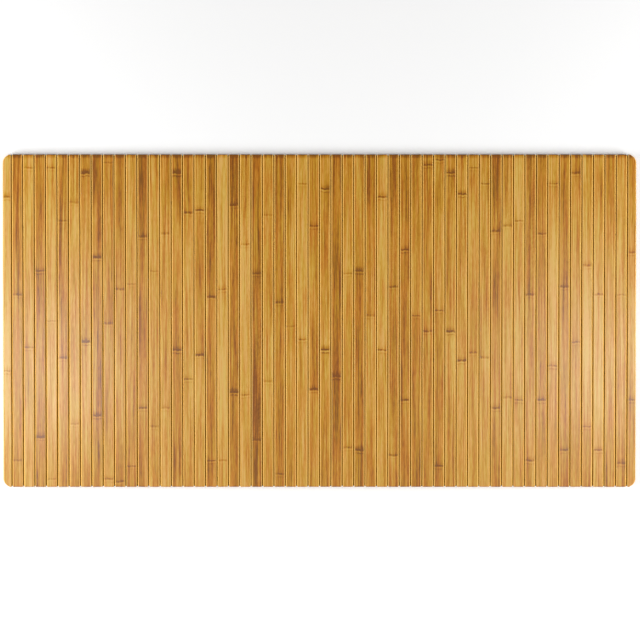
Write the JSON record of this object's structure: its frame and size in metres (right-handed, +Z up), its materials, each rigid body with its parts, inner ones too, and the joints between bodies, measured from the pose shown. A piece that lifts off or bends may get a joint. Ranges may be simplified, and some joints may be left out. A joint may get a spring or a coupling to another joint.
{
  "type": "chair mat",
  "caption": "Roll-up rectangular chair mat of bamboo slats on a hinge cloth with a felt backing, flat for casters and rolled for storage.",
  "frame": {"origin": "middle of the underside of the felt, on the floor", "axes": "+X along the mat, across the slats; +Y along the slats; +Z up, out of the face that casters roll on"},
  "size_m": [1.2, 0.63, 0.007],
  "materials": {
    "bamboo_honey": "satin lacquer over honey-coloured bamboo",
    "bamboo_amber": "satin lacquer over deeper amber, heat-toned bamboo",
    "bamboo_pale": "satin lacquer over paler bamboo",
    "hinge_cloth": "plain-woven brown cloth",
    "felt": "needled dark felt"
  },
  "bodies": {
    "strip_01": {"slat_01": "bamboo_pale", "hinge_cloth": "hinge_cloth", "felt_backing": "felt"},
    "strip_02": {"slat_02": "bamboo_honey"},
    "strip_03": {"slat_03": "bamboo_honey"},
    "strip_04": {"slat_04": "bamboo_pale"},
    "strip_05": {"slat_05": "bamboo_amber"},
    "strip_06": {"slat_06": "bamboo_amber"},
    "strip_07": {"slat_07": "bamboo_honey"},
    "strip_08": {"slat_08": "bamboo_amber"},
    "strip_09": {"slat_09": "bamboo_amber"},
    "strip_10": {"slat_10": "bamboo_amber"},
    "strip_11": {"slat_11": "bamboo_pale"},
    "strip_12": {"slat_12": "bamboo_pale"},
    "strip_13": {"slat_13": "bamboo_amber"},
    "strip_14": {"slat_14": "bamboo_pale"},
    "strip_15": {"slat_15": "bamboo_honey"},
    "strip_16": {"slat_16": "bamboo_pale"},
    "strip_17": {"slat_17": "bamboo_honey"},
    "strip_18": {"slat_18": "bamboo_honey"},
    "strip_19": {"slat_19": "bamboo_pale"},
    "strip_20": {"slat_20": "bamboo_amber"},
    "strip_21": {"slat_21": "bamboo_amber"},
    "strip_22": {"slat_22": "bamboo_honey"},
    "strip_23": {"slat_23": "bamboo_amber"},
    "strip_24": {"slat_24": "bamboo_amber"},
    "strip_25": {"slat_25": "bamboo_amber"},
    "strip_26": {"slat_26": "bamboo_pale"},
    "strip_27": {"slat_27": "bamboo_pale"},
    "strip_28": {"slat_28": "bamboo_amber"},
    "strip_29": {"slat_29": "bamboo_pale"},
    "strip_30": {"slat_30": "bamboo_honey"},
    "strip_31": {"slat_31": "bamboo_pale"},
    "strip_32": {"slat_32": "bamboo_honey"},
    "strip_33": {"slat_33": "bamboo_honey"},
    "strip_34": {"slat_34": "bamboo_pale"},
    "strip_35": {"slat_35": "bamboo_amber"},
    "strip_36": {"slat_36": "bamboo_amber"},
    "strip_37": {"slat_37": "bamboo_honey"},
    "strip_38": {"slat_38": "bamboo_amber"},
    "strip_39": {"slat_39": "bamboo_amber"},
    "strip_40": {"slat_40": "bamboo_amber"},
    "strip_41": {"slat_41": "bamboo_pale"},
    "strip_42": {"slat_42": "bamboo_pale"},
    "strip_43": {"slat_43": "bamboo_amber"},
    "strip_44": {"slat_44": "bamboo_pale"},
    "strip_45": {"slat_45": "bamboo_honey"},
    "strip_46": {"slat_46": "bamboo_pale"},
    "strip_47": {"slat_47": "bamboo_honey"},
    "strip_48": {"slat_48": "bamboo_honey"},
    "strip_49": {"slat_49": "bamboo_pale"},
    "strip_50": {"slat_50": "bamboo_amber"},
    "strip_51": {"slat_51": "bamboo_amber"},
    "strip_52": {"slat_52": "bamboo_honey"},
    "strip_53": {"slat_53": "bamboo_amber"},
    "strip_54": {"slat_54": "bamboo_amber"},
    "strip_55": {"slat_55": "bamboo_amber"},
    "strip_56": {"slat_56": "bamboo_pale"}
  },
  "joints": [
    {"name": "hinge_01", "type": "hinge", "parent": "strip_01", "child": "strip_02", "pos_m": [-0.5832, 0, 0.0018], "axis": [0, -1, 0], "range_deg": [0, 13.39], "deforming": ["hinge_cloth", "felt_backing"]},
    {"name": "hinge_02", "type": "hinge", "parent": "strip_02", "child": "strip_03", "pos_m": [-0.5616, 0, 0.0018], "axis": [0, -1, 0], "range_deg": [0, 13.44], "deforming": ["hinge_cloth", "felt_backing"]},
    {"name": "hinge_03", "type": "hinge", "parent": "strip_03", "child": "strip_04", "pos_m": [-0.54, 0, 0.0018], "axis": [0, -1, 0], "range_deg": [0, 13.49], "deforming": ["hinge_cloth", "felt_backing"]},
    {"name": "hinge_04", "type": "hinge", "parent": "strip_04", "child": "strip_05", "pos_m": [-0.5184, 0, 0.0018], "axis": [0, -1, 0], "range_deg": [0, 13.54], "deforming": ["hinge_cloth", "felt_backing"]},
    {"name": "hinge_05", "type": "hinge", "parent": "strip_05", "child": "strip_06", "pos_m": [-0.4968, 0, 0.0018], "axis": [0, -1, 0], "range_deg": [0, 13.6], "deforming": ["hinge_cloth", "felt_backing"]},
    {"name": "hinge_06", "type": "hinge", "parent": "strip_06", "child": "strip_07", "pos_m": [-0.4752, 0, 0.0018], "axis": [0, -1, 0], "range_deg": [0, 13.65], "deforming": ["hinge_cloth", "felt_backing"]},
    {"name": "hinge_07", "type": "hinge", "parent": "strip_07", "child": "strip_08", "pos_m": [-0.4536, 0, 0.0018], "axis": [0, -1, 0], "range_deg": [0, 13.7], "deforming": ["hinge_cloth", "felt_backing"]},
    {"name": "hinge_08", "type": "hinge", "parent": "strip_08", "child": "strip_09", "pos_m": [-0.432, 0, 0.0018], "axis": [0, -1, 0], "range_deg": [0, 13.75], "deforming": ["hinge_cloth", "felt_backing"]},
    {"name": "hinge_09", "type": "hinge", "parent": "strip_09", "child": "strip_10", "pos_m": [-0.4104, 0, 0.0018], "axis": [0, -1, 0], "range_deg": [0, 13.81], "deforming": ["hinge_cloth", "felt_backing"]},
    {"name": "hinge_10", "type": "hinge", "parent": "strip_10", "child": "strip_11", "pos_m": [-0.3888, 0, 0.0018], "axis": [0, -1, 0], "range_deg": [0, 13.86], "deforming": ["hinge_cloth", "felt_backing"]},
    {"name": "hinge_11", "type": "hinge", "parent": "strip_11", "child": "strip_12", "pos_m": [-0.3672, 0, 0.0018], "axis": [0, -1, 0], "range_deg": [0, 13.92], "deforming": ["hinge_cloth", "felt_backing"]},
    {"name": "hinge_12", "type": "hinge", "parent": "strip_12", "child": "strip_13", "pos_m": [-0.3456, 0, 0.0018], "axis": [0, -1, 0], "range_deg": [0, 13.98], "deforming": ["hinge_cloth", "felt_backing"]},
    {"name": "hinge_13", "type": "hinge", "parent": "strip_13", "child": "strip_14", "pos_m": [-0.324, 0, 0.0018], "axis": [0, -1, 0], "range_deg": [0, 14.03], "deforming": ["hinge_cloth", "felt_backing"]},
    {"name": "hinge_14", "type": "hinge", "parent": "strip_14", "child": "strip_15", "pos_m": [-0.3024, 0, 0.0018], "axis": [0, -1, 0], "range_deg": [0, 14.09], "deforming": ["hinge_cloth", "felt_backing"]},
    {"name": "hinge_15", "type": "hinge", "parent": "strip_15", "child": "strip_16", "pos_m": [-0.2808, 0, 0.0018], "axis": [0, -1, 0], "range_deg": [0, 14.15], "deforming": ["hinge_cloth", "felt_backing"]},
    {"name": "hinge_16", "type": "hinge", "parent": "strip_16", "child": "strip_17", "pos_m": [-0.2592, 0, 0.0018], "axis": [0, -1, 0], "range_deg": [0, 14.21], "deforming": ["hinge_cloth", "felt_backing"]},
    {"name": "hinge_17", "type": "hinge", "parent": "strip_17", "child": "strip_18", "pos_m": [-0.2376, 0, 0.0018], "axis": [0, -1, 0], "range_deg": [0, 14.27], "deforming": ["hinge_cloth", "felt_backing"]},
    {"name": "hinge_18", "type": "hinge", "parent": "strip_18", "child": "strip_19", "pos_m": [-0.216, 0, 0.0018], "axis": [0, -1, 0], "range_deg": [0, 14.33], "deforming": ["hinge_cloth", "felt_backing"]},
    {"name": "hinge_19", "type": "hinge", "parent": "strip_19", "child": "strip_20", "pos_m": [-0.1944, 0, 0.0018], "axis": [0, -1, 0], "range_deg": [0, 14.39], "deforming": ["hinge_cloth", "felt_backing"]},
    {"name": "hinge_20", "type": "hinge", "parent": "strip_20", "child": "strip_21", "pos_m": [-0.1728, 0, 0.0018], "axis": [0, -1, 0], "range_deg": [0, 14.45], "deforming": ["hinge_cloth", "felt_backing"]},
    {"name": "hinge_21", "type": "hinge", "parent": "strip_21", "child": "strip_22", "pos_m": [-0.1512, 0, 0.0018], "axis": [0, -1, 0], "range_deg": [0, 14.51], "deforming": ["hinge_cloth", "felt_backing"]},
    {"name": "hinge_22", "type": "hinge", "parent": "strip_22", "child": "strip_23", "pos_m": [-0.1296, 0, 0.0018], "axis": [0, -1, 0], "range_deg": [0, 14.58], "deforming": ["hinge_cloth", "felt_backing"]},
    {"name": "hinge_23", "type": "hinge", "parent": "strip_23", "child": "strip_24", "pos_m": [-0.108, 0, 0.0018], "axis": [0, -1, 0], "range_deg": [0, 14.64], "deforming": ["hinge_cloth", "felt_backing"]},
    {"name": "hinge_24", "type": "hinge", "parent": "strip_24", "child": "strip_25", "pos_m": [-0.0864, 0, 0.0018], "axis": [0, -1, 0], "range_deg": [0, 14.7], "deforming": ["hinge_cloth", "felt_backing"]},
    {"name": "hinge_25", "type": "hinge", "parent": "strip_25", "child": "strip_26", "pos_m": [-0.0648, 0, 0.0018], "axis": [0, -1, 0], "range_deg": [0, 14.77], "deforming": ["hinge_cloth", "felt_backing"]},
    {"name": "hinge_26", "type": "hinge", "parent": "strip_26", "child": "strip_27", "pos_m": [-0.0432, 0, 0.0018], "axis": [0, -1, 0], "range_deg": [0, 14.84], "deforming": ["hinge_cloth", "felt_backing"]},
    {"name": "hinge_27", "type": "hinge", "parent": "strip_27", "child": "strip_28", "pos_m": [-0.0216, 0, 0.0018], "axis": [0, -1, 0], "range_deg": [0, 14.91], "deforming": ["hinge_cloth", "felt_backing"]},
    {"name": "hinge_28", "type": "hinge", "parent": "strip_28", "child": "strip_29", "pos_m": [0, 0, 0.0018], "axis": [0, -1, 0], "range_deg": [0, 14.97], "deforming": ["hinge_cloth", "felt_backing"]},
    {"name": "hinge_29", "type": "hinge", "parent": "strip_29", "child": "strip_30", "pos_m": [0.0216, 0, 0.0018], "axis": [0, -1, 0], "range_deg": [0, 15.04], "deforming": ["hinge_cloth", "felt_backing"]},
    {"name": "hinge_30", "type": "hinge", "parent": "strip_30", "child": "strip_31", "pos_m": [0.0432, 0, 0.0018], "axis": [0, -1, 0], "range_deg": [0, 15.12], "deforming": ["hinge_cloth", "felt_backing"]},
    {"name": "hinge_31", "type": "hinge", "parent": "strip_31", "child": "strip_32", "pos_m": [0.0648, 0, 0.0018], "axis": [0, -1, 0], "range_deg": [0, 15.19], "deforming": ["hinge_cloth", "felt_backing"]},
    {"name": "hinge_32", "type": "hinge", "parent": "strip_32", "child": "strip_33", "pos_m": [0.0864, 0, 0.0018], "axis": [0, -1, 0], "range_deg": [0, 15.26], "deforming": ["hinge_cloth", "felt_backing"]},
    {"name": "hinge_33", "type": "hinge", "parent": "strip_33", "child": "strip_34", "pos_m": [0.108, 0, 0.0018], "axis": [0, -1, 0], "range_deg": [0, 15.33], "deforming": ["hinge_cloth", "felt_backing"]},
    {"name": "hinge_34", "type": "hinge", "parent": "strip_34", "child": "strip_35", "pos_m": [0.1296, 0, 0.0018], "axis": [0, -1, 0], "range_deg": [0, 15.41], "deforming": ["hinge_cloth", "felt_backing"]},
    {"name": "hinge_35", "type": "hinge", "parent": "strip_35", "child": "strip_36", "pos_m": [0.1512, 0, 0.0018], "axis": [0, -1, 0], "range_deg": [0, 15.48], "deforming": ["hinge_cloth", "felt_backing"]},
    {"name": "hinge_36", "type": "hinge", "parent": "strip_36", "child": "strip_37", "pos_m": [0.1728, 0, 0.0018], "axis": [0, -1, 0], "range_deg": [0, 15.56], "deforming": ["hinge_cloth", "felt_backing"]},
    {"name": "hinge_37", "type": "hinge", "parent": "strip_37", "child": "strip_38", "pos_m": [0.1944, 0, 0.0018], "axis": [0, -1, 0], "range_deg": [0, 15.64], "deforming": ["hinge_cloth", "felt_backing"]},
    {"name": "hinge_38", "type": "hinge", "parent": "strip_38", "child": "strip_39", "pos_m": [0.216, 0, 0.0018], "axis": [0, -1, 0], "range_deg": [0, 15.72], "deforming": ["hinge_cloth", "felt_backing"]},
    {"name": "hinge_39", "type": "hinge", "parent": "strip_39", "child": "strip_40", "pos_m": [0.2376, 0, 0.0018], "axis": [0, -1, 0], "range_deg": [0, 15.8], "deforming": ["hinge_cloth", "felt_backing"]},
    {"name": "hinge_40", "type": "hinge", "parent": "strip_40", "child": "strip_41", "pos_m": [0.2592, 0, 0.0018], "axis": [0, -1, 0], "range_deg": [0, 15.88], "deforming": ["hinge_cloth", "felt_backing"]},
    {"name": "hinge_41", "type": "hinge", "parent": "strip_41", "child": "strip_42", "pos_m": [0.2808, 0, 0.0018], "axis": [0, -1, 0], "range_deg": [0, 15.97], "deforming": ["hinge_cloth", "felt_backing"]},
    {"name": "hinge_42", "type": "hinge", "parent": "strip_42", "child": "strip_43", "pos_m": [0.3024, 0, 0.0018], "axis": [0, -1, 0], "range_deg": [0, 16.05], "deforming": ["hinge_cloth", "felt_backing"]},
    {"name": "hinge_43", "type": "hinge", "parent": "strip_43", "child": "strip_44", "pos_m": [0.324, 0, 0.0018], "axis": [0, -1, 0], "range_deg": [0, 16.14], "deforming": ["hinge_cloth", "felt_backing"]},
    {"name": "hinge_44", "type": "hinge", "parent": "strip_44", "child": "strip_45", "pos_m": [0.3456, 0, 0.0018], "axis": [0, -1, 0], "range_deg": [0, 16.22], "deforming": ["hinge_cloth", "felt_backing"]},
    {"name": "hinge_45", "type": "hinge", "parent": "strip_45", "child": "strip_46", "pos_m": [0.3672, 0, 0.0018], "axis": [0, -1, 0], "range_deg": [0, 16.31], "deforming": ["hinge_cloth", "felt_backing"]},
    {"name": "hinge_46", "type": "hinge", "parent": "strip_46", "child": "strip_47", "pos_m": [0.3888, 0, 0.0018], "axis": [0, -1, 0], "range_deg": [0, 16.4], "deforming": ["hinge_cloth", "felt_backing"]},
    {"name": "hinge_47", "type": "hinge", "parent": "strip_47", "child": "strip_48", "pos_m": [0.4104, 0, 0.0018], "axis": [0, -1, 0], "range_deg": [0, 16.5], "deforming": ["hinge_cloth", "felt_backing"]},
    {"name": "hinge_48", "type": "hinge", "parent": "strip_48", "child": "strip_49", "pos_m": [0.432, 0, 0.0018], "axis": [0, -1, 0], "range_deg": [0, 16.59], "deforming": ["hinge_cloth", "felt_backing"]},
    {"name": "hinge_49", "type": "hinge", "parent": "strip_49", "child": "strip_50", "pos_m": [0.4536, 0, 0.0018], "axis": [0, -1, 0], "range_deg": [0, 16.68], "deforming": ["hinge_cloth", "felt_backing"]},
    {"name": "hinge_50", "type": "hinge", "parent": "strip_50", "child": "strip_51", "pos_m": [0.4752, 0, 0.0018], "axis": [0, -1, 0], "range_deg": [0, 16.78], "deforming": ["hinge_cloth", "felt_backing"]},
    {"name": "hinge_51", "type": "hinge", "parent": "strip_51", "child": "strip_52", "pos_m": [0.4968, 0, 0.0018], "axis": [0, -1, 0], "range_deg": [0, 16.88], "deforming": ["hinge_cloth", "felt_backing"]},
    {"name": "hinge_52", "type": "hinge", "parent": "strip_52", "child": "strip_53", "pos_m": [0.5184, 0, 0.0018], "axis": [0, -1, 0], "range_deg": [0, 16.98], "deforming": ["hinge_cloth", "felt_backing"]},
    {"name": "hinge_53", "type": "hinge", "parent": "strip_53", "child": "strip_54", "pos_m": [0.54, 0, 0.0018], "axis": [0, -1, 0], "range_deg": [0, 17.08], "deforming": ["hinge_cloth", "felt_backing"]},
    {"name": "hinge_54", "type": "hinge", "parent": "strip_54", "child": "strip_55", "pos_m": [0.5616, 0, 0.0018], "axis": [0, -1, 0], "range_deg": [0, 17.19], "deforming": ["hinge_cloth", "felt_backing"]},
    {"name": "hinge_55", "type": "hinge", "parent": "strip_55", "child": "strip_56", "pos_m": [0.5832, 0, 0.0018], "axis": [0, -1, 0], "range_deg": [0, 17.29], "deforming": ["hinge_cloth", "felt_backing"]}
  ]
}
